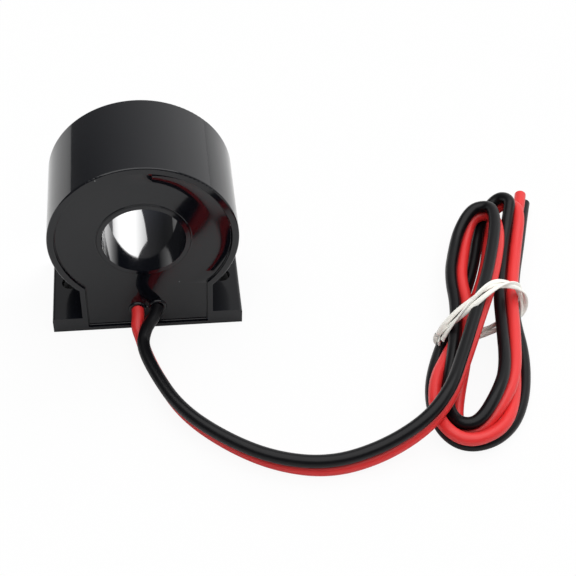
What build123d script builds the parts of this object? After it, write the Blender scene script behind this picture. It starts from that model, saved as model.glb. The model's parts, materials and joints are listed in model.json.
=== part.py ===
"""Solid-core current transformer, potted in a moulded case, with two flying leads folded into a hank.

Millimetres. +Z is up, the bore runs along Y and the potted side faces -Y.
The origin is at the middle of the underside of the foot.
"""
from build123d import *
from math import cos, hypot, pi, radians, sin, sqrt, tan
import os

os.makedirs("parts", exist_ok=True)

# ---------------------------------------------------------------- driving dimensions
# case
ring_diameter = 33.5
axis_height = 21.8
case_depth = 18.8
foot_width = 35.0
foot_thickness = 3.3
foot_corner_radius = 0.5
neck_width = 24.0
ring_wall = 1.2
neck_wall = 0.95
floor_wall = 0.8
back_wall = 1.5
rim_radius = 0.3
bore_diameter = 14.8
tube_wall = 0.8
tube_setback = 0.3
screw_hole_diameter = 3.2
screw_hole_edge = 3.2

# potting
resin_setback = 0.5
bond_gap = 0.05
meniscus_height = 0.18
meniscus_lip = 0.12
meniscus_fillet = 0.15
collar_height = 0.35

# coil
coil_tube_clearance = 0.3
coil_wall_clearance = 0.7
coil_back_clearance = 0.6
coil_cover = 1.8
tape_thickness = 0.25
winding_inner_build = 1.0
winding_outer_build = 0.85
winding_side_build = 0.9
wrap_thickness = 0.3
layer_gap = 0.05
coil_edge_radius = 0.6
core_edge_radius = 0.3

# leads, joints and sleeves
lead_diameter = 2.3
magnet_wire_diameter = 0.4
joint_diameter = 1.0
joint_length = 4.0
straight_run = 1.6
straight_end = 2.6
sleeve_wall = 0.3
sleeve_over_lead = 2.0
sleeve_over_wire = 1.2
tail_rise = 2.0
tail_bend = 0.9

bend_share = 0.45

# hank and its band
left_leg_width = 8.0
left_leg_height = 6.2
top_pass_width = 3.4
top_pass_height = 9.8
fold_width = 6.4
fold_height = 5.6
right_leg_width = 5.6
right_leg_height = 6.2
entry_length = 4.0
band_width = 1.7
band_thickness = 0.8
band_gap = 0.15
band_half_length = 9.6
band_shoulder_drop = 1.2
band_crest_half = 2.0
band_corner_radius = 1.6
band_turn = 22.0
band_lean = 6.0

# ---------------------------------------------------------------- derived sizes
front_y = -case_depth / 2
back_y = case_depth / 2
resin_y = front_y + resin_setback
cavity_back_y = back_y - back_wall
ring_radius = ring_diameter / 2
cavity_radius = ring_radius - ring_wall
bore_radius = bore_diameter / 2
tube_radius = bore_radius + tube_wall
lead_radius = lead_diameter / 2
screw_hole_spacing = foot_width - 2 * screw_hole_edge


def facing(y):
    """Plane across the bore axis at depth y: local x is X, local y is Z, positive extrusion runs to -Y."""
    return Plane.XZ.offset(-y)


def outline(radius, half_width, floor):
    """Round body on a straight-sided neck, as a sketch on the current plane."""
    with Locations((0, axis_height)):
        Circle(radius)
    with Locations((0, floor)):
        Rectangle(2 * half_width, axis_height - floor, align=(Align.CENTER, Align.MIN))


# ---------------------------------------------------------------- case
with BuildPart() as case:
    with BuildSketch(facing(front_y)):
        outline(ring_radius, neck_width / 2, 0)
    extrude(amount=-case_depth)
    with BuildSketch(facing(front_y)):
        Rectangle(foot_width, foot_thickness, align=(Align.CENTER, Align.MIN))
    extrude(amount=-case_depth)
    foot_edges = case.edges().filter_by(Axis.Y).filter_by_position(Axis.Z, foot_thickness, foot_thickness)
    fillet(foot_edges.group_by(Axis.X)[0] + foot_edges.group_by(Axis.X)[-1], foot_corner_radius)
    # the well that the resin fills, open at the front
    with BuildSketch(facing(front_y)):
        outline(cavity_radius, neck_width / 2 - neck_wall, floor_wall)
    extrude(amount=-(case_depth - back_wall), mode=Mode.SUBTRACT)
    # the bore tube, moulded on the back wall
    with BuildSketch(facing(front_y + tube_setback)):
        with Locations((0, axis_height)):
            Circle(tube_radius)
    extrude(amount=-(case_depth - tube_setback))
    with BuildSketch(facing(front_y)):
        with Locations((0, axis_height)):
            Circle(bore_radius)
    extrude(amount=-case_depth, mode=Mode.SUBTRACT)
    # screw holes through the foot
    with BuildSketch(Plane.XY):
        with GridLocations(screw_hole_spacing, 0, 2, 1):
            Circle(screw_hole_diameter / 2)
    extrude(amount=foot_thickness, mode=Mode.SUBTRACT)
    # softened outer rims, front and back
    rims = case.edges().filter_by(GeomType.CIRCLE).filter_by(
        lambda e: abs(e.radius - ring_radius) < 1e-6)
    fillet(rims, rim_radius)
case.part.label = "case"
export_step(case.part, "parts/case.step")

# ---------------------------------------------------------------- coil: core, wrap, winding and tape
bore_axis = Axis((0, 0, axis_height), (0, 1, 0))
tape_inner = tube_radius + coil_tube_clearance
tape_outer = cavity_radius - coil_wall_clearance
tape_front = resin_y + coil_cover
tape_back = cavity_back_y - coil_back_clearance
tape_edge_radius = coil_edge_radius + tape_thickness
winding_inner = tape_inner + tape_thickness + layer_gap
winding_outer = tape_outer - tape_thickness - layer_gap
winding_front = tape_front + tape_thickness + layer_gap
winding_back = tape_back - tape_thickness - layer_gap
wrap_inner = winding_inner + winding_inner_build + layer_gap
wrap_outer = winding_outer - winding_outer_build - layer_gap
wrap_front = winding_front + winding_side_build + layer_gap
wrap_back = winding_back - winding_side_build - layer_gap


def ring_section(inner, outer, front, back, corner, grow=0.0, mode=Mode.ADD):
    """Section of a ring round the bore axis, for Plane.YZ, with every side moved out by grow."""
    with Locations(((front + back) / 2, axis_height + (inner + outer) / 2)):
        RectangleRounded(back - front + 2 * grow, outer - inner + 2 * grow, corner + grow, mode=mode)


with BuildPart() as core:
    with BuildSketch(Plane.YZ):
        ring_section(wrap_inner, wrap_outer, wrap_front, wrap_back, core_edge_radius + wrap_thickness,
                     -wrap_thickness - layer_gap)
    revolve(axis=bore_axis)
core.part.label = "core"
export_step(core.part, "parts/core.step")

with BuildPart() as core_wrap:
    with BuildSketch(Plane.YZ):
        ring_section(wrap_inner, wrap_outer, wrap_front, wrap_back, core_edge_radius + wrap_thickness)
        ring_section(wrap_inner, wrap_outer, wrap_front, wrap_back, core_edge_radius + wrap_thickness,
                     -wrap_thickness, Mode.SUBTRACT)
    revolve(axis=bore_axis)
core_wrap.part.label = "core_wrap"
export_step(core_wrap.part, "parts/core_wrap.step")

with BuildPart() as secondary_winding:
    with BuildSketch(Plane.YZ):
        ring_section(winding_inner, winding_outer, winding_front, winding_back, coil_edge_radius)
        ring_section(wrap_inner, wrap_outer, wrap_front, wrap_back, core_edge_radius + wrap_thickness,
                     layer_gap, Mode.SUBTRACT)
    revolve(axis=bore_axis)
secondary_winding.part.label = "secondary_winding"
export_step(secondary_winding.part, "parts/secondary_winding.step")

# ---------------------------------------------------------------- leads: free stretch up to the hank
# Middle of the two cores at each point of the route (x, y, z), how far the pair leans over (degrees,
# 0 side by side, 90 black on top) and how far apart the two centre lines run. Chosen by hand.
free_route = [
    (0, -9, 4.8, 5, 3.75),
    (-0.2, -10.5, 4.5, 10, 3.3),
    (-1, -12.5, 3.9, 30, 2.7),
    (-1, -14.5, 3.2, 75, 2.6),
    (-1, -17.5, 2.6, 105, 2.5),
    (1, -23.5, 2.4, 110, 2.4),
    (5, -32, 2.4, 110, 2.4),
    (12, -39, 2.4, 105, 2.4),
    (20, -44, 2.4, 100, 2.4),
    (29, -46, 2.4, 90, 2.4),
    (38, -44, 2.8, 85, 2.5),
    (46, -41, 5.6, 85, 2.5),
]


def core_line(route, side):
    """Points of one core: side +1 is the black core, -1 the red one."""
    points = []
    for n, (x, y, z, lean, apart) in enumerate(route):
        before = route[max(n - 1, 0)]
        after = route[min(n + 1, len(route) - 1)]
        run_x = after[0] - before[0]
        run_y = after[1] - before[1]
        run = hypot(run_x, run_y)
        across = side * apart / 2 * cos(radians(lean))
        rise = side * apart / 2 * sin(radians(lean))
        points.append(Vector(x - run_y / run * across, y + run_x / run * across, z + rise))
    inside = points[0] + Vector(0, straight_run, 0)
    return [inside] + points


def bend_radii(points):
    """The largest arc that the two runs beside each corner leave room for."""
    radii = []
    for a, b, c in zip(points, points[1:], points[2:]):
        turn = (b - a).get_angle(c - b)
        radii.append(bend_share * min((b - a).length, (c - b).length) / tan(radians(turn) / 2))
    return radii


core_routes = {"black": core_line(free_route, 1), "red": core_line(free_route, -1)}

for colour, points in core_routes.items():
    radii = bend_radii(points)
    with BuildPart() as lead:
        with BuildLine() as path:
            FilletPolyline(*points, radius=radii)
        inner_end = Plane(path.line @ 0, z_dir=path.line % 0)
        with BuildSketch(inner_end):
            Circle(lead_radius)
        sweep()
        swept_volume = lead.part.volume
        # straight end in the resin, back to the soldered joint
        with BuildSketch(inner_end):
            Circle(lead_radius)
        extrude(amount=-straight_end)
    lead.part.label = f"{colour}_lead"
    export_step(lead.part, f"parts/{colour}_lead.step")
    route_length = path.wire().length
    print(f"{colour} lead: {route_length:.1f} long, bend radii", [round(r, 1) for r in radii])
    full_volume = pi * lead_radius**2 * route_length
    print(f"{colour} lead: volume / (section x length) {swept_volume / full_volume:.4f}")

# ---------------------------------------------------------------- soldered joints, sleeves, magnet wire
joint_front = core_routes["red"][0].Y + straight_end
joint_back = joint_front + joint_length
sleeve_front = joint_front - sleeve_over_lead
sleeve_back = joint_back + sleeve_over_wire
tail_y = joint_back + tail_rise
wire_radius = magnet_wire_diameter / 2
joint_radius = joint_diameter / 2
sleeve_outer = lead_radius + bond_gap + sleeve_wall


def winding_underside(x):
    """Height of the underside of the winding at x."""
    return axis_height - sqrt(winding_outer**2 - x**2)


def tail_corners(x, z):
    """Corners of the magnet wire's line, from the joint back and up to the winding."""
    return (x, joint_back, z), (x, tail_y, z), (x, tail_y, winding_underside(x))


tail_names = {"red": "winding_start", "black": "winding_finish"}
for colour, points in core_routes.items():
    x = points[0].X
    z = points[0].Z
    with BuildPart() as joint:
        with BuildSketch(facing(joint_front)):
            with Locations((x, z)):
                Circle(joint_radius)
        extrude(amount=-joint_length)
        chamfer(joint.faces().sort_by(Axis.Y)[-1].edges(), joint_radius - wire_radius - bond_gap)
    joint.part.label = f"{colour}_splice"
    export_step(joint.part, f"parts/{colour}_splice.step")

    # heat-shrink sleeve: full bore over the lead, shrunk down on the joint and on the wire behind it
    with BuildPart() as sleeve:
        with BuildSketch(Plane(origin=(x, 0, z), x_dir=(0, 1, 0), z_dir=(1, 0, 0))):
            with BuildLine():
                inner = [
                    (sleeve_front, lead_radius + bond_gap),
                    (joint_front, lead_radius + bond_gap),
                    (joint_front + lead_radius - joint_radius, joint_radius + bond_gap),
                    (joint_back, joint_radius + bond_gap),
                    (joint_back + joint_radius - wire_radius, wire_radius + bond_gap),
                    (sleeve_back, wire_radius + bond_gap),
                ]
                Polyline(*inner, *[(y, r + sleeve_wall) for y, r in reversed(inner)], close=True)
            make_face()
        revolve(axis=Axis((x, 0, z), (0, 1, 0)))
    sleeve.part.label = f"{colour}_sleeve"
    export_step(sleeve.part, f"parts/{colour}_sleeve.step")

    with BuildPart() as tail:
        with BuildLine() as path:
            FilletPolyline(*tail_corners(x, z), radius=tail_bend)
        with BuildSketch(Plane(path.line @ 0, z_dir=path.line % 0)):
            Circle(wire_radius)
        sweep()
    tail.part.label = tail_names[colour]
    export_step(tail.part, f"parts/{tail_names[colour]}.step")

# tape over the winding, slit where the two ends come out
with BuildPart() as winding_tape:
    with BuildSketch(Plane.YZ):
        ring_section(tape_inner, tape_outer, tape_front, tape_back, tape_edge_radius)
        ring_section(tape_inner, tape_outer, tape_front, tape_back, tape_edge_radius, -tape_thickness,
                     Mode.SUBTRACT)
    revolve(axis=bore_axis)
    with BuildSketch(Plane.XY):
        with Locations(*[(points[0].X, tail_y) for points in core_routes.values()]):
            Circle(wire_radius + bond_gap)
    extrude(amount=axis_height - winding_inner, mode=Mode.SUBTRACT)
winding_tape.part.label = "winding_tape"
export_step(winding_tape.part, "parts/winding_tape.step")

# ---------------------------------------------------------------- potting resin
lip_y = resin_y - meniscus_height
with BuildPart() as potting_resin:
    # block up to the top of the meniscus
    with BuildSketch(facing(lip_y)):
        outline(cavity_radius - bond_gap, neck_width / 2 - neck_wall - bond_gap, floor_wall + bond_gap)
        with Locations((0, axis_height)):
            Circle(tube_radius + bond_gap, mode=Mode.SUBTRACT)
    extrude(amount=-(cavity_back_y - lip_y))
    # the surface, hollowed between the edges where the resin creeps up the walls
    wall_inset = bond_gap + meniscus_lip
    with BuildSketch(facing(lip_y)):
        outline(cavity_radius - wall_inset, neck_width / 2 - neck_wall - wall_inset, floor_wall + wall_inset)
        with Locations((0, axis_height)):
            Circle(tube_radius + wall_inset, mode=Mode.SUBTRACT)
    extrude(amount=-meniscus_height, mode=Mode.SUBTRACT)
    surface = potting_resin.faces().filter_by(Axis.Y).filter_by_position(Axis.Y, resin_y, resin_y)
    fillet(surface.edges(), meniscus_fillet)
    # small collars of resin round the two leads, hollowed like the rest of the surface
    collar_y = resin_y - collar_height
    collar_tip = lead_radius + bond_gap + meniscus_lip
    collar_root = collar_tip + collar_height
    for points in core_routes.values():
        x = points[1].X
        z = points[1].Z
        with BuildSketch(Plane(origin=(x, 0, z), x_dir=(0, 1, 0), z_dir=(1, 0, 0))):
            with BuildLine():
                Polyline((collar_y, collar_tip), (collar_y, 0), (resin_y, 0), (resin_y, collar_root))
                RadiusArc((resin_y, collar_root), (collar_y, collar_tip), -collar_height)
            make_face()
        revolve(axis=Axis((x, 0, z), (0, 1, 0)))
    # room for the coil, the joints and the wires, which the resin flowed round
    with BuildSketch(Plane.YZ):
        ring_section(tape_inner, tape_outer, tape_front, tape_back, tape_edge_radius, bond_gap)
    revolve(axis=bore_axis, mode=Mode.SUBTRACT)
    for points in core_routes.values():
        x = points[0].X
        z = points[0].Z
        with BuildSketch(facing(sleeve_front - bond_gap)):
            with Locations((x, z)):
                Circle(sleeve_outer + bond_gap)
        extrude(amount=-(sleeve_back - sleeve_front + 2 * bond_gap), mode=Mode.SUBTRACT)
        with BuildLine() as path:
            FilletPolyline(*points[:4], radius=bend_radii(points[:4]))
        inner_end = Plane(path.line @ 0, z_dir=path.line % 0)
        with BuildSketch(inner_end):
            Circle(lead_radius + bond_gap)
        sweep(mode=Mode.SUBTRACT)
        with BuildSketch(inner_end):
            Circle(lead_radius + bond_gap)
        extrude(amount=-straight_end, mode=Mode.SUBTRACT)
        with BuildLine() as path:
            FilletPolyline(*tail_corners(x, z), radius=tail_bend)
        with BuildSketch(Plane(path.line @ 0, z_dir=path.line % 0)):
            Circle(wire_radius + bond_gap)
        sweep(mode=Mode.SUBTRACT)
potting_resin.part.label = "potting_resin"
export_step(potting_resin.part, "parts/potting_resin.step")

# ---------------------------------------------------------------- hank and its band
# The folded part of both leads as one solid of its outer shape. Each pass is a line across the table,
# chosen by hand, with its own width and height: the left leg, the pass that lies over it, the lower
# fold and the right leg. The middle of the hank stays open.
passes = [
    ([(52, -37), (54, -28), (59, -16), (62, -5), (67, 8)], left_leg_width, left_leg_height),
    ([(50, -38), (60, -18), (65, -7), (69, 6)], top_pass_width, top_pass_height),
    ([(51, -34), (51, -41), (59, -41), (65, -32), (67, -20)], fold_width, fold_height),
    ([(67, -22), (68, -10), (71, 2), (77, 17)], right_leg_width, right_leg_height),
]

# The band's inner outline lies in an upright plane that is turned across the hank: it starts on the
# table, goes up beside the legs, slopes up to a crest over the top pass and comes down again.
band_x, band_y = 62.0, -16.0
turn = radians(band_turn)
lean = radians(band_lean)
band_along = (cos(turn), sin(turn), 0)
band_normal = (sin(turn) * cos(lean), -cos(turn) * cos(lean), sin(lean))
band_plane = Plane(origin=(band_x, band_y, 0), x_dir=band_along, z_dir=band_normal)
band_floor = band_thickness + band_width / 2 * tan(lean)
left_shoulder = left_leg_height - band_shoulder_drop
right_shoulder = right_leg_height - band_shoulder_drop
band_crest = top_pass_height + band_gap
band_corners = [
    (-band_half_length, band_floor),
    (-band_half_length, left_shoulder),
    (-band_crest_half, band_crest),
    (band_crest_half, band_crest),
    (band_half_length, right_shoulder),
    (band_half_length, band_floor),
]


def band_loop(grow=0.0, mode=Mode.ADD):
    """Face inside the band, with every side moved out by grow, on the current sketch."""
    with BuildSketch(mode=Mode.PRIVATE) as loop:
        with BuildLine():
            FilletPolyline(*band_corners, radius=band_corner_radius, close=True)
        make_face()
        if grow:
            offset(amount=grow, mode=Mode.REPLACE)
    add(loop.sketch_local, mode=mode)


with BuildPart() as lead_hank:
    for points, width, height in passes:
        radii = bend_radii([Vector(*p) for p in points])
        with BuildSketch():
            with BuildLine():
                FilletPolyline(*points, radius=radii)
            trace(line_width=width)
            with Locations(points[0], points[-1]):
                Circle(width / 2)
        extrude(amount=height)
    # the two leads run on into the hank
    for points in core_routes.values():
        heading = points[-1] - points[-2]
        with BuildSketch(Plane(origin=points[-1], z_dir=heading)):
            Circle(lead_radius)
        extrude(amount=entry_length)
    # where the band goes round, the hank is squeezed to what the band leaves room for
    with BuildSketch(band_plane):
        Rectangle(4 * band_half_length, 4 * band_crest)
        band_loop(-band_gap, Mode.SUBTRACT)
    extrude(amount=band_width / 2 + band_gap, both=True, mode=Mode.SUBTRACT)
lead_hank.part.label = "lead_hank"
export_step(lead_hank.part, "parts/lead_hank.step")

with BuildPart() as hank_band:
    with BuildSketch(band_plane):
        band_loop(band_thickness)
        band_loop(mode=Mode.SUBTRACT)
    extrude(amount=band_width / 2, both=True)
hank_band.part.label = "hank_band"
export_step(hank_band.part, "parts/hank_band.step")
print("hank:", len(lead_hank.solids()), "solid, band:", len(hank_band.solids()), "solid")
print("hank box", lead_hank.part.bounding_box(), "band box", hank_band.part.bounding_box())
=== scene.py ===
# %% [markdown]
# # Current transformer with flying leads
# A ring-shaped transformer in a gloss black moulded case, potted with black epoxy. Two insulated leads
# leave the resin, sweep over the table and are folded into a loose hank with an elastic band round it.
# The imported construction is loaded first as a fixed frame, and everything below is dressed round it.

import json
import math

import bpy
from mathutils import Matrix, Vector


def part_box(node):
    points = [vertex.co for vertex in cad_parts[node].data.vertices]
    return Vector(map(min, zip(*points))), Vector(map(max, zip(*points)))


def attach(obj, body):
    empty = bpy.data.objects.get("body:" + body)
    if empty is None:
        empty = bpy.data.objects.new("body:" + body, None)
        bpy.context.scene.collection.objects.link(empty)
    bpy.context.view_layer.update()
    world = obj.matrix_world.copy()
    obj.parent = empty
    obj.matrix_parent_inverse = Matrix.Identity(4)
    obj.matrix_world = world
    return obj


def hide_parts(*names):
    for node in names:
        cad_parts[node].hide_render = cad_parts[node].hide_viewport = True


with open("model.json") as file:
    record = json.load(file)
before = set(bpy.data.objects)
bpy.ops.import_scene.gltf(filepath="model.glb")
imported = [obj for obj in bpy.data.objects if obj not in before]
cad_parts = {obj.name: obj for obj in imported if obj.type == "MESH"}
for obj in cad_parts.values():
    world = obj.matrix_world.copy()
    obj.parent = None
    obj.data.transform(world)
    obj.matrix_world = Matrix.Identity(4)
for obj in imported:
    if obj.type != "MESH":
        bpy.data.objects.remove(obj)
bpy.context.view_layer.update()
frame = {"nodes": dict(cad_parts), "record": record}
bpy.ops.object.select_all(action="DESELECT")
MM = 0.001
print("nodes:", sorted(frame["nodes"]))

# %% [markdown]
# ## Camera
# The transformer is looked at from the front and from well above, a little turned. A long lens keeps
# the ring round. One point on the table, one distance and three angles place the camera.

# %% Camera
view_target = Vector((25.9, -9.4, 8.4)) * MM
view_distance = 226.9 * MM
view_yaw = 8.9
view_pitch = 45.6
view_roll = 3.3
view_lens = 76.8
nearest_seen = 0.01

view_turn = (
    Matrix.Rotation(math.radians(-view_yaw), 3, "Z")
    @ Matrix.Rotation(math.radians(90 - view_pitch), 3, "X")
    @ Matrix.Rotation(math.radians(view_roll), 3, "Z")
)
bpy.ops.object.camera_add(location=view_target + view_turn @ Vector((0, 0, view_distance)))
camera = bpy.context.object
camera.name = "view_camera"
camera.rotation_euler = view_turn.to_euler()
camera.data.lens = view_lens
camera.data.clip_start = nearest_seen
bpy.context.scene.camera = camera
bpy.ops.object.select_all(action="DESELECT")
print("camera at", [round(c, 4) for c in camera.location])

# %% [markdown]
# ## The two leads
# Both cores leave the resin side by side. They lean over until the black one lies on the red one, and
# run on as a pair to their cut ends. So one list says where the middle of the pair is, how far it leans
# over and how far apart the two centre lines are. Each core's own line is worked out from that, and a
# NURBS spline of order 3 makes it smooth.

# %% Route of the pair up to the hank: x, y, z, lean in degrees, distance between centre lines
free_route = [
    (0, -9, 4.8, 5, 3.75),
    (-0.2, -10.5, 4.5, 10, 3.3),
    (-1, -12.5, 3.9, 30, 2.7),
    (-1, -14.5, 3.2, 75, 2.6),
    (-1, -17.5, 2.6, 105, 2.5),
    (1, -23.5, 2.4, 110, 2.4),
    (5, -32, 2.4, 110, 2.4),
    (12, -39, 2.4, 105, 2.4),
    (20, -44, 2.4, 100, 2.4),
    (29, -46, 2.4, 90, 2.4),
    (38, -44, 2.8, 85, 2.5),
    (46, -41, 5.6, 85, 2.5),
]

# %% Route of the pair through the hank
hank_route = [
    # up through the hank, above everything
    (51, -36.5, 8, 80, 2.4),
    (55, -28.5, 7.5, 75, 2.4),
    (60, -18, 7.8, 70, 2.4),
    (64.5, -8.5, 7.4, 60, 2.4),
    (68.5, 2.5, 7.8, 60, 2.4),
    # first fold at the top
    (69.5, 8.5, 7.6, 70, 2.4),
    (68.5, 11, 6.8, 85, 2.4),
    (65.5, 11, 5.9, 105, 2.4),
    (63, 7, 4.1, 135, 2.5),
    (61, 1.5, 3.8, 150, 2.3),
    # back down on the left
    (59, -5, 4.2, 160, 2.3),
    (58.5, -14, 4.9, 185, 2.3),
    (55.5, -25, 4.8, 165, 2.4),
    (53, -32, 3, 155, 2.4),
    # lower fold, inner pass
    (52, -37, 2.6, 130, 2.4),
    (53, -40, 2.8, 100, 2.4),
    (56, -40.5, 3.6, 75, 2.4),
    (60, -36.5, 5.8, 55, 2.4),
    # up again on the right
    (63.5, -30.5, 5.8, 35, 2.4),
    (66, -19, 4.8, 10, 2.4),
    (67.5, -10, 4.8, 5, 2.4),
    (71.5, 2.5, 4.5, 0, 2.4),
    # second fold at the top
    (74, 10, 6.2, 15, 2.4),
    (74.5, 13.5, 6.4, 50, 2.4),
    (72, 15.5, 4.8, 90, 2.7),
    (69.5, 13, 2.7, 125, 2.6),
    (68, 8.5, 1.8, 160, 2.4),
    # down once more, on the table
    (65, -1, 1.5, 180, 2.4),
    (60, -11.5, 2.3, 190, 2.4),
    (54, -21, 2, 210, 2.5),
    (49.5, -30, 2.5, 260, 2.6),
    # lower fold, outer pass
    (49, -38.5, 2.4, 285, 2.4),
    (53, -43.5, 2.4, 290, 2.4),
    (60, -41.5, 2.4, 265, 2.4),
    (64.5, -35, 2.1, 225, 2.4),
    # last pass, up to the cut ends
    (67.5, -24, 1.7, 205, 2.4),
    (67.5, -13.5, 2.4, 195, 2.4),
    (70, -4, 1.8, 200, 2.4),
    (74, 6, 2.1, 230, 2.4),
    (77.5, 15.5, 2.4, 245, 2.4),
    (78.5, 18.5, 2.4, 240, 2.4),
]
print("route points:", len(free_route), "free,", len(hank_route), "in the hank")

# %% Line of one core
lead_diameter = 2.3 * MM
lead_radius = lead_diameter / 2


def core_line(route, side):
    """Control points of one core in metres: side +1 is the black core, -1 the red one."""
    points = []
    for n, (x, y, z, lean, apart) in enumerate(route):
        before = Vector(route[max(n - 1, 0)][:2])
        after = Vector(route[min(n + 1, len(route) - 1)][:2])
        run = (after - before).normalized()
        across = side * apart / 2 * math.cos(math.radians(lean))
        rise = side * apart / 2 * math.sin(math.radians(lean))
        points.append(Vector((x - run.y * across, y + run.x * across, z + rise)) * MM)
    return points


# %% Spline helpers
curve_steps = 12
lead_bevel_steps = 6


def spline_curve(name, points, closed=False):
    """A curve object at the origin with one NURBS spline of order 3 through its control points."""
    curve = bpy.data.curves.new(name, "CURVE")
    curve.dimensions = "3D"
    curve.resolution_u = curve_steps
    spline = curve.splines.new("NURBS")
    spline.points.add(len(points) - 1)
    for control, place in zip(spline.points, points):
        control.co = (*place, 1)
    spline.use_cyclic_u = closed
    spline.order_u = 3
    spline.use_endpoint_u = not closed
    piece = bpy.data.objects.new(name, curve)
    bpy.context.collection.objects.link(piece)
    return piece


def points_along(piece):
    """The points that a curve without bevel runs through, in order."""
    bpy.context.view_layer.update()
    sampled = bpy.data.meshes.new_from_object(piece)
    places = [vertex.co.copy() for vertex in sampled.vertices]
    bpy.data.meshes.remove(sampled)
    return places


def length_along(places):
    """Length of the run through these points."""
    return sum((b - a).length for a, b in zip(places, places[1:]))


# %% The two cores
leads = {}
lead_points = {}
for colour, side in (("black", 1), ("red", -1)):
    controls = core_line(free_route + hank_route, side)
    lead = spline_curve(f"{colour}_lead_dressed", controls)
    lead_points[colour] = points_along(lead)
    lead.data.bevel_depth = lead_radius
    lead.data.bevel_resolution = lead_bevel_steps
    lead.data.use_fill_caps = True
    leads[colour] = lead

# %% [markdown]
# Each lead is cut off square, so its copper shows in the cut: one strand in the middle and six round
# it. Each is a short bevelled cylinder that faces along the lead, and the seven are joined.

# %% Copper in the cut ends
strand_radius = 0.16 * MM
strand_pitch = 0.33 * MM
strand_proud = 0.06 * MM
strand_length = 0.5 * MM
copper_sides = 12
copper_bevel = 0.04 * MM
outer_strands = 6


def cut_copper(name, end, heading):
    """Seven strands at a cut end, as one piece at the origin."""
    spots = [(0, 0)]
    for k in range(outer_strands):
        around = math.tau * k / outer_strands
        spots.append((strand_pitch * math.cos(around), strand_pitch * math.sin(around)))
    turn = heading.to_track_quat("Z", "Y")
    strands = []
    for x, y in spots:
        centre = end + turn @ Vector((x, y, strand_proud - strand_length / 2))
        bpy.ops.mesh.primitive_cylinder_add(
            vertices=copper_sides,
            radius=strand_radius,
            depth=strand_length,
            location=centre,
            rotation=turn.to_euler(),
        )
        strand = bpy.context.object
        bpy.ops.object.mode_set(mode="EDIT")
        bpy.ops.mesh.select_all(action="SELECT")
        bpy.ops.mesh.bevel(offset=copper_bevel, segments=2)
        bpy.ops.object.mode_set(mode="OBJECT")
        strands.append(strand)
    bpy.ops.object.select_all(action="DESELECT")
    for strand in strands:
        strand.select_set(True)
    bpy.context.view_layer.objects.active = strands[0]
    bpy.ops.object.join()
    bpy.ops.object.transform_apply(location=True, rotation=True, scale=True)
    copper = bpy.context.object
    copper.name = name
    bpy.ops.object.select_all(action="DESELECT")
    return copper


cut_ends = {}
for colour in leads:
    end = lead_points[colour][-1]
    heading = (end - lead_points[colour][-2]).normalized()
    cut_ends[colour] = cut_copper(f"{colour}_cut_copper", end, heading)
    print(cut_ends[colour].name, "faces:", len(cut_ends[colour].data.polygons))

# %% [markdown]
# ## Elastic band
# Round the hank goes an elastic band, wound on so that three flat strands lie side by side and turn
# slowly over each other. A closed NURBS line runs round the hank, and each strand winds along it. Where
# the band passes under the hank, the table presses it flat.

# %% Line of the band round the hank
band_route = [
    (52.6, -19.5, 2),
    (53.6, -19.5, 5.6),
    (57, -18, 9),
    (61.5, -15.5, 11.6),
    (65.5, -13, 10.6),
    (69.3, -11.5, 7.8),
    (70.8, -12, 4.6),
    (70.4, -13, 0.8),
    (66, -14.5, 0.5),
    (60, -17, 0.5),
    (54.5, -19, 0.5),
]
band_line = spline_curve("band_line", [Vector(p) * MM for p in band_route], closed=True)
band_path = points_along(band_line)
bpy.data.objects.remove(band_line)
print("band round the hank:", round(length_along(band_path) / MM, 1), "mm")

# %% Strand helper
strand_sides = 12
outward_share = 0.35
pressed_height = 0.02 * MM


def strand_rings(path, spread, turns, start, width, thickness):
    """Rings of one flattened strand that winds round a closed path, and turns with it."""
    middle = sum(path, Vector()) / len(path)
    rings = []
    for n, place in enumerate(path):
        along = (path[(n + 1) % len(path)] - path[n - 1]).normalized()
        outward = (place - middle).normalized()
        outward = (outward - along * outward.dot(along)).normalized()
        sideways = along.cross(outward)
        angle = start + turns * math.tau * n / len(path)
        flat = sideways * math.cos(angle) + outward * math.sin(angle)
        thin = along.cross(flat)
        aside = sideways * math.cos(angle) * spread
        off_hank = outward * math.sin(angle) * spread * outward_share
        centre = place + aside + off_hank
        ring = []
        for k in range(strand_sides):
            around = math.tau * k / strand_sides
            corner = centre + flat * math.cos(around) * width / 2
            corner = corner + thin * math.sin(around) * thickness / 2
            corner.z = max(corner.z, pressed_height)
            ring.append(corner)
        rings.append(ring)
    return rings


# %% The band itself
band_turns = 1.5
band_strands = 3
strand_spread = 0.8 * MM
strand_width = 1 * MM
strand_thickness = 0.55 * MM

band_vertices = []
band_faces = []
for strand in range(band_strands):
    start = math.tau * strand / band_strands
    rings = strand_rings(band_path, strand_spread, band_turns, start, strand_width, strand_thickness)
    first = len(band_vertices)
    for ring in rings:
        band_vertices.extend(ring)
    for n in range(len(rings)):
        ahead = (n + 1) % len(rings)
        for k in range(strand_sides):
            beside = (k + 1) % strand_sides
            corners = ((n, k), (ahead, k), (ahead, beside), (n, beside))
            band_faces.append([first + ring * strand_sides + corner for ring, corner in corners])
band_mesh = bpy.data.meshes.new("twisted_band")
band_mesh.from_pydata(band_vertices, [], band_faces)
band = bpy.data.objects.new("twisted_band", band_mesh)
bpy.context.collection.objects.link(band)
bpy.context.view_layer.objects.active = band
band.select_set(True)
bpy.ops.object.mode_set(mode="EDIT")
bpy.ops.mesh.select_all(action="SELECT")
bpy.ops.mesh.normals_make_consistent(inside=False)
bpy.ops.object.mode_set(mode="OBJECT")
bpy.ops.object.shade_smooth()
bpy.ops.object.select_all(action="DESELECT")
print("band faces:", len(band_faces))

# %% [markdown]
# ## Finishes
# Moulded plastic and cast epoxy are both black and glossy, so what tells them apart is how even the
# gloss is. One shader group serves every finish: a mask for the roughness, a height for a fine bump, a
# swell for a slow wave and a mask for specks of dust. Each material sets its own scale.

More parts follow.
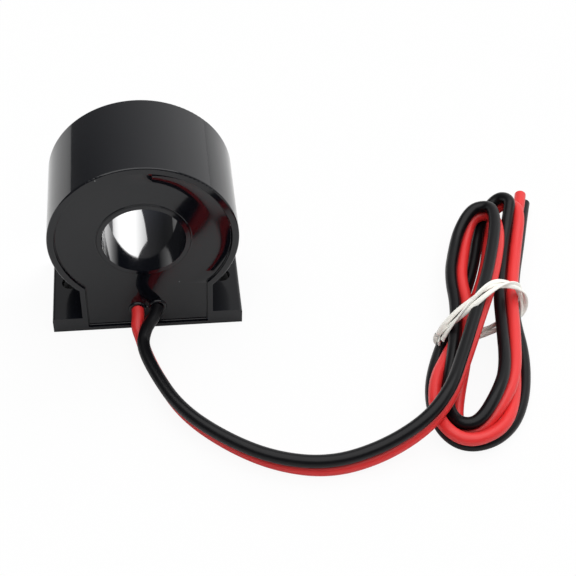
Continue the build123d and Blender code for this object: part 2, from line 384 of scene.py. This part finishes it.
# %% Uneven gloss, shared by the finishes
uneven = bpy.data.node_groups.new("uneven_gloss", "ShaderNodeTree")
uneven.interface.new_socket("Scale", in_out="INPUT", socket_type="NodeSocketFloat")
for socket in ("Mask", "Height", "Swell", "Specks"):
    uneven.interface.new_socket(socket, in_out="OUTPUT", socket_type="NodeSocketFloat")
group_in = uneven.nodes.new("NodeGroupInput")
group_out = uneven.nodes.new("NodeGroupOutput")
place = uneven.nodes.new("ShaderNodeTexCoord")


def maths(operation, constant=None):
    """A math node in the group, with a constant as its second number if one is given."""
    node = uneven.nodes.new("ShaderNodeMath")
    node.operation = operation
    if constant is not None:
        node.inputs[1].default_value = constant
    return node


def pattern(node_type, scale_factor):
    """A texture on object coordinates, whose scale is the group's own scale times a factor."""
    texture = uneven.nodes.new(node_type)
    factor = maths("MULTIPLY", scale_factor)
    uneven.links.new(place.outputs["Object"], texture.inputs["Vector"])
    uneven.links.new(group_in.outputs["Scale"], factor.inputs[0])
    uneven.links.new(factor.outputs[0], texture.inputs["Scale"])
    return texture


# outlet of the group, scale factor, detail
noise_patterns = (("Mask", 1, 3), ("Height", 9, 6), ("Swell", 0.5, 0))
for outlet, scale_factor, detail in noise_patterns:
    noise = pattern("ShaderNodeTexNoise", scale_factor)
    noise.inputs["Detail"].default_value = detail
    uneven.links.new(noise.outputs["Fac"], group_out.inputs[outlet])

# %% Dust specks, in the same group
speck_scale = 6
speck_radius = 0.06
bare_share = 0.93

crumbs = pattern("ShaderNodeTexVoronoi", speck_scale)
near_crumb = maths("LESS_THAN", speck_radius)
cell = uneven.nodes.new("ShaderNodeSeparateColor")
dusty_cell = maths("GREATER_THAN", bare_share)
both = maths("MULTIPLY")
uneven.links.new(crumbs.outputs["Distance"], near_crumb.inputs[0])
uneven.links.new(crumbs.outputs["Color"], cell.inputs[0])
uneven.links.new(cell.outputs["Red"], dusty_cell.inputs[0])
uneven.links.new(near_crumb.outputs[0], both.inputs[0])
uneven.links.new(dusty_cell.outputs[0], both.inputs[1])
uneven.links.new(both.outputs[0], group_out.inputs["Specks"])
print("group outputs:", [item.name for item in uneven.interface.items_tree])


# %% Material helper
dust_colour = (0.3, 0.3, 0.3)


def finish_of(
    name, colour, roughness, scale, bump, wave=0.0, metallic=0.0, specular=0.5, dusty=False
):
    """A Principled material whose roughness, fine bump, slow wave and dust follow the group.

    The roughness is a range, the scale is the group's, bump and wave are distances in metres.
    """
    material = bpy.data.materials.new(name)
    material.use_nodes = True
    nodes = material.node_tree.nodes
    links = material.node_tree.links
    shader = nodes["Principled BSDF"]
    shader.inputs["Base Color"].default_value = (*colour, 1)
    shader.inputs["Metallic"].default_value = metallic
    shader.inputs["Specular IOR Level"].default_value = specular
    gloss = nodes.new("ShaderNodeGroup")
    gloss.node_tree = uneven
    gloss.inputs["Scale"].default_value = scale
    spread = nodes.new("ShaderNodeMapRange")
    spread.inputs["To Min"].default_value = roughness[0]
    spread.inputs["To Max"].default_value = roughness[1]
    relief = nodes.new("ShaderNodeBump")
    relief.inputs["Distance"].default_value = bump
    links.new(gloss.outputs["Mask"], spread.inputs["Value"])
    links.new(spread.outputs["Result"], shader.inputs["Roughness"])
    links.new(gloss.outputs["Height"], relief.inputs["Height"])
    if dusty:
        dust = nodes.new("ShaderNodeMix")
        dust.data_type = "RGBA"
        dust.inputs["A"].default_value = (*colour, 1)
        dust.inputs["B"].default_value = (*dust_colour, 1)
        links.new(gloss.outputs["Specks"], dust.inputs["Factor"])
        links.new(dust.outputs["Result"], shader.inputs["Base Color"])
    if wave:
        swell = nodes.new("ShaderNodeBump")
        swell.name = "slow_wave"
        swell.inputs["Distance"].default_value = wave
        links.new(gloss.outputs["Swell"], swell.inputs["Height"])
        links.new(swell.outputs["Normal"], relief.inputs["Normal"])
    links.new(relief.outputs["Normal"], shader.inputs["Normal"])
    return material


# %% Materials of the pieces
gloss_black = (0.003, 0.0035, 0.0055)
case_gloss = {"specular": 0.42, "dusty": True}
finishes = {
    "case": finish_of("moulded_black_case", gloss_black, (0.05, 0.1), 90, 2e-6, **case_gloss),
    "resin": finish_of(
        "cast_black_epoxy", gloss_black, (0.03, 0.07), 110, 1e-6, wave=0.9 * MM, **case_gloss
    ),
    "core_steel": finish_of(
        "grain_oriented_steel", (0.35, 0.35, 0.36), (0.3, 0.45), 300, 1e-5, metallic=1
    ),
    "wrap": finish_of("polyester_wrap", (0.75, 0.7, 0.5), (0.35, 0.5), 200, 2e-5),
    "copper": finish_of(
        "enamelled_copper", (0.72, 0.3, 0.12), (0.2, 0.35), 400, 5e-6, metallic=1
    ),
    "tape": finish_of("yellow_tape", (0.8, 0.6, 0.12), (0.35, 0.5), 250, 1e-5),
    "solder": finish_of("solder", (0.6, 0.6, 0.62), (0.25, 0.45), 900, 2e-5, metallic=1),
    "sleeve": finish_of("heat_shrink_sleeve", (0.012, 0.012, 0.012), (0.45, 0.6), 400, 1e-5),
    "red_pvc": finish_of(
        "red_insulation", (0.74, 0.03, 0.03), (0.34, 0.46), 500, 6e-6, specular=0.4
    ),
    "black_pvc": finish_of(
        "black_insulation", (0.004, 0.004, 0.005), (0.26, 0.36), 500, 6e-6, specular=0.2
    ),
    "elastic": finish_of(
        "cream_rubber", (0.92, 0.91, 0.85), (0.5, 0.7), 700, 6e-5, specular=0.3
    ),
}
print("materials:", sorted(finishes))

# %% [markdown]
# Where the epoxy met the wall of the ring it crept up before it set, most on the right. The solid stays
# flat there, and a bump gives the raised edge: its height grows with the square of the distance from
# the bore, and fades out to the left and down towards the neck.

# %% Raised edge of the resin
bore_mount = next(m for m in frame["record"]["mounts"] if m["name"] == "bore")
bore_height = bore_mount["pos_m"][2]
creep_start = 12.5 * MM
creep_full = 15.6 * MM
side_start = -3 * MM
side_full = 2 * MM
neck_start = 10.5 * MM
neck_full = 13.5 * MM
creep_height = 0.75 * MM


def mapped(nodes, links, source, low, high):
    """0 at low and below, 1 at high and above."""
    ramp = nodes.new("ShaderNodeMapRange")
    ramp.inputs["From Min"].default_value = low
    ramp.inputs["From Max"].default_value = high
    links.new(source, ramp.inputs["Value"])
    return ramp.outputs["Result"]


def product(nodes, links, first, second):
    """One number times the other."""
    times = nodes.new("ShaderNodeMath")
    times.operation = "MULTIPLY"
    links.new(first, times.inputs[0])
    links.new(second, times.inputs[1])
    return times.outputs[0]


nodes = finishes["resin"].node_tree.nodes
links = finishes["resin"].node_tree.links
spot = nodes.new("ShaderNodeTexCoord")
split = nodes.new("ShaderNodeSeparateXYZ")
from_bore = nodes.new("ShaderNodeVectorMath")
from_bore.operation = "SUBTRACT"
from_bore.inputs[1].default_value = (0, 0, bore_height)
in_face = nodes.new("ShaderNodeVectorMath")
in_face.operation = "MULTIPLY"
in_face.inputs[1].default_value = (1, 0, 1)
radius = nodes.new("ShaderNodeVectorMath")
radius.operation = "LENGTH"
links.new(spot.outputs["Object"], split.inputs[0])
links.new(spot.outputs["Object"], from_bore.inputs[0])
links.new(from_bore.outputs[0], in_face.inputs[0])
links.new(in_face.outputs[0], radius.inputs[0])
near_wall = mapped(nodes, links, radius.outputs["Value"], creep_start, creep_full)
squared = product(nodes, links, near_wall, near_wall)
right_side = mapped(nodes, links, split.outputs["X"], side_start, side_full)
above_neck = mapped(nodes, links, split.outputs["Z"], neck_start, neck_full)
creep = product(nodes, links, product(nodes, links, squared, right_side), above_neck)
rise = nodes.new("ShaderNodeBump")
rise.inputs["Distance"].default_value = creep_height
links.new(creep, rise.inputs["Height"])
links.new(rise.outputs["Normal"], nodes["slow_wave"].inputs["Normal"])
print("raised edge from", creep_start, "to", creep_full, "m off the bore's axis")

# %% Materials on the CAD nodes
node_finish = {
    "case": "case",
    "potting_resin": "resin",
    "core": "core_steel",
    "core_wrap": "wrap",
    "secondary_winding": "copper",
    "winding_tape": "tape",
    "winding_start": "copper",
    "winding_finish": "copper",
    "red_splice": "solder",
    "black_splice": "solder",
    "red_sleeve": "sleeve",
    "black_sleeve": "sleeve",
}
for node_name, finish_name in node_finish.items():
    node = frame["nodes"][node_name]
    node.data.materials.clear()
    node.data.materials.append(finishes[finish_name])
leads["black"].data.materials.append(finishes["black_pvc"])
leads["red"].data.materials.append(finishes["red_pvc"])
for copper in cut_ends.values():
    copper.data.materials.clear()
    copper.data.materials.append(finishes["copper"])
band.data.materials.append(finishes["elastic"])

# %% [markdown]
# ## What each piece is
# The leads are free cords that lie folded, and each stands for its own solid and for its share of the
# hank. The band rides on the same body.

# %% Say what each piece stands for
for colour, lead in leads.items():
    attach(lead, "root")
    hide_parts(f"{colour}_lead", "lead_hank")
    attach(cut_ends[colour], "root")
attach(band, "root")
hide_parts("hank_band")

# %% [markdown]
# ## Table and light
# The table and backdrop are plain white. To the eye the table is evenly bright, and it keeps a faint
# soft shadow under the object, so its surface mixes a plain diffuse white with a glow.

# %% Table
table_size = 1.4
table_white = 0.8
glow_share = 0.92

bpy.ops.mesh.primitive_plane_add(size=table_size)
table = bpy.context.object
table.name = "table"
white = bpy.data.materials.new("white_table")
white.use_nodes = True
nodes = white.node_tree.nodes
links = white.node_tree.links
nodes.clear()
matt = nodes.new("ShaderNodeBsdfDiffuse")
matt.inputs["Color"].default_value = (table_white, table_white, table_white, 1)
glow = nodes.new("ShaderNodeEmission")
seen = nodes.new("ShaderNodeLightPath")
share = nodes.new("ShaderNodeMath")
share.operation = "MULTIPLY"
share.inputs[1].default_value = glow_share
blend = nodes.new("ShaderNodeMixShader")
surface = nodes.new("ShaderNodeOutputMaterial")
links.new(seen.outputs["Is Camera Ray"], share.inputs[0])
links.new(share.outputs[0], blend.inputs["Fac"])
links.new(matt.outputs[0], blend.inputs[1])
links.new(glow.outputs[0], blend.inputs[2])
links.new(blend.outputs[0], surface.inputs["Surface"])
table.data.materials.append(white)
bpy.ops.object.select_all(action="DESELECT")

# %% Room: bright to the back right, dark elsewhere
bright_side = (0.71, 0.71, 0)
turning_from = 0.1
turning_to = 0.9
dark_level = 0.2
bright_level = 1.3

world = bpy.data.worlds.new("studio")
bpy.context.scene.world = world
world.use_nodes = True
nodes = world.node_tree.nodes
links = world.node_tree.links
toward = nodes.new("ShaderNodeTexCoord")
facing = nodes.new("ShaderNodeVectorMath")
facing.operation = "DOT_PRODUCT"
facing.inputs[1].default_value = bright_side
level = nodes.new("ShaderNodeMapRange")
level.inputs["From Min"].default_value = turning_from
level.inputs["From Max"].default_value = turning_to
level.inputs["To Min"].default_value = dark_level
level.inputs["To Max"].default_value = bright_level
room = nodes.new("ShaderNodeBackground")
plain = nodes.new("ShaderNodeBackground")
plain.inputs["Color"].default_value = (1, 1, 1, 1)
seen = nodes.new("ShaderNodeLightPath")
choose = nodes.new("ShaderNodeMixShader")
links.new(toward.outputs["Generated"], facing.inputs[0])
links.new(facing.outputs["Value"], level.inputs["Value"])
links.new(level.outputs["Result"], room.inputs["Strength"])
links.new(seen.outputs["Is Camera Ray"], choose.inputs["Fac"])
links.new(room.outputs[0], choose.inputs[1])
links.new(plain.outputs[0], choose.inputs[2])
links.new(choose.outputs[0], nodes["World Output"].inputs["Surface"])

# %% Soft light from above
overhead_place = (0.05, -0.05, 1.1)
overhead_size = 1.6
overhead_watts = 17.6

bpy.ops.object.light_add(type="AREA", location=overhead_place)
overhead = bpy.context.object
overhead.name = "overhead_softbox"
overhead.data.shape = "SQUARE"
overhead.data.size = overhead_size
overhead.data.energy = overhead_watts
bpy.ops.object.select_all(action="DESELECT")
bpy.context.scene.view_settings.view_transform = "Standard"

# %% [markdown]
# The wall of the bore would be black on black. A small bright card stands behind the right half of the
# back opening and shines down into it. It is small and its light is narrow, so the outside of the ring,
# the foot and the back of the case don't show it.

# %% Card behind the bore
case_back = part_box("case")[1][1]
card_aim = Vector((-0.45, -0.65, -0.6))
card_place = Vector((6 * MM, case_back + 7 * MM, bore_height + 1 * MM))
card_width = 12 * MM
card_height = 18 * MM
card_spread = 95
card_watts = 0.0042

bpy.ops.object.light_add(type="AREA", location=card_place)
card = bpy.context.object
card.name = "bore_card"
card.rotation_euler = card_aim.to_track_quat("-Z", "Y").to_euler()
card.data.shape = "RECTANGLE"
card.data.size = card_width
card.data.size_y = card_height
card.data.spread = math.radians(card_spread)
card.data.energy = card_watts
card.visible_camera = False
bpy.ops.object.select_all(action="DESELECT")
